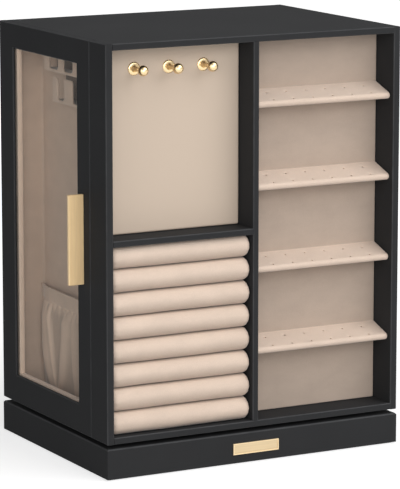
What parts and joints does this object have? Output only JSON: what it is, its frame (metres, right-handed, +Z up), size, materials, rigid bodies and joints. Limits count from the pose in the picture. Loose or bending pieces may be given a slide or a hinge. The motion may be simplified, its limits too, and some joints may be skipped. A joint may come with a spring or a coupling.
{
  "type": "rotating jewelry box",
  "caption": "Black cabinet jewelry box that turns on a low plinth, with gold knob hooks, velvet ring rolls, sloping earring shelves, a glazed necklace door and rear drawers.",
  "frame": {"origin": "on the turning axis, in the plane of the non-slip sheet's underside", "axes": "+Z up along the turning axis, -Y to the open front, -X to the glazed door"},
  "size_m": [0.275, 0.2062, 0.34],
  "materials": {
    "black_board": "satin",
    "velvet": "matte",
    "gold_metal": "satin",
    "steel": "satin",
    "ball_steel": "polished",
    "cage_plastic": "matte",
    "glass": "gloss",
    "non_slip": "matte"
  },
  "bodies": {
    "base": {"plinth_long_rails": "black_board", "plinth_short_rails": "black_board", "plinth_deck": "black_board", "plinth_bottom_board": "black_board", "non_slip_sheet": "non_slip", "nameplate": "gold_metal", "turntable_lower_plate": "steel", "turntable_rivet": "steel", "lower_plate_screws": "steel"},
    "ball_ring": {"turntable_ball_cage": "cage_plastic", "turntable_balls": "ball_steel"},
    "cabinet": {"turntable_upper_plate": "steel", "cabinet_screws": "steel", "top_panel": "black_board", "bottom_panel": "black_board", "right_side_panel": "black_board", "left_front_stile": "black_board", "rear_post": "black_board", "front_divider": "black_board", "front_shelf": "black_board", "front_back_board": "black_board", "partition_board": "black_board", "drawer_shelf_1": "black_board", "drawer_shelf_2": "black_board", "drawer_shelf_3": "black_board", "hook_panel_pad": "velvet", "hook_rosettes": "gold_metal", "hook_knobs": "gold_metal", "ring_rolls": "velvet", "earring_panel_pad": "velvet", "earring_shelf_1": "velvet", "earring_shelf_2": "velvet", "earring_shelf_3": "velvet", "earring_shelf_4": "velvet", "necklace_liner": "velvet", "necklace_hook_rack": "velvet", "necklace_pocket": "velvet", "cabinet_hinge_leaves": "gold_metal", "hinge_pins": "gold_metal", "cabinet_magnet": "steel"},
    "left_door": {"door_panel": "black_board", "door_glass": "glass", "glass_bead": "velvet", "door_handle": "gold_metal", "door_hinge_leaves": "gold_metal", "door_screws": "steel", "door_magnet": "steel"},
    "drawer_1": {"drawer_1_front": "black_board", "drawer_1_tray": "velvet", "drawer_1_handle": "gold_metal"},
    "drawer_2": {"drawer_2_front": "black_board", "drawer_2_tray": "velvet", "drawer_2_handle": "gold_metal"},
    "drawer_3": {"drawer_3_front": "black_board", "drawer_3_tray": "velvet", "drawer_3_handle": "gold_metal"},
    "drawer_4": {"drawer_4_front": "black_board", "drawer_4_tray": "velvet", "drawer_4_handle": "gold_metal"}
  },
  "joints": [
    {"name": "cabinet_turn", "type": "hinge", "parent": "base", "child": "cabinet", "pos_m": [0, 0, 0.0285], "axis": [0, 0, 1], "continuous": true},
    {"name": "ball_ring_turn", "type": "hinge", "parent": "base", "child": "ball_ring", "pos_m": [0, 0, 0.024], "axis": [0, 0, 1], "continuous": true},
    {"name": "door_swing", "type": "hinge", "parent": "cabinet", "child": "left_door", "pos_m": [-0.1252, 0.0977, 0.18425], "axis": [0, 0, -1], "range_deg": [0, 110]},
    {"name": "drawer_1_slide", "type": "slide", "parent": "cabinet", "child": "drawer_1", "axis": [0, 1, 0], "range_m": [0, 0.115]},
    {"name": "drawer_2_slide", "type": "slide", "parent": "cabinet", "child": "drawer_2", "axis": [0, 1, 0], "range_m": [0, 0.115]},
    {"name": "drawer_3_slide", "type": "slide", "parent": "cabinet", "child": "drawer_3", "axis": [0, 1, 0], "range_m": [0, 0.115]},
    {"name": "drawer_4_slide", "type": "slide", "parent": "cabinet", "child": "drawer_4", "axis": [0, 1, 0], "range_m": [0, 0.115]}
  ],
  "couplings": [
    {"joint": "ball_ring_turn", "follows": "cabinet_turn", "ratio": 0.5}
  ]
}
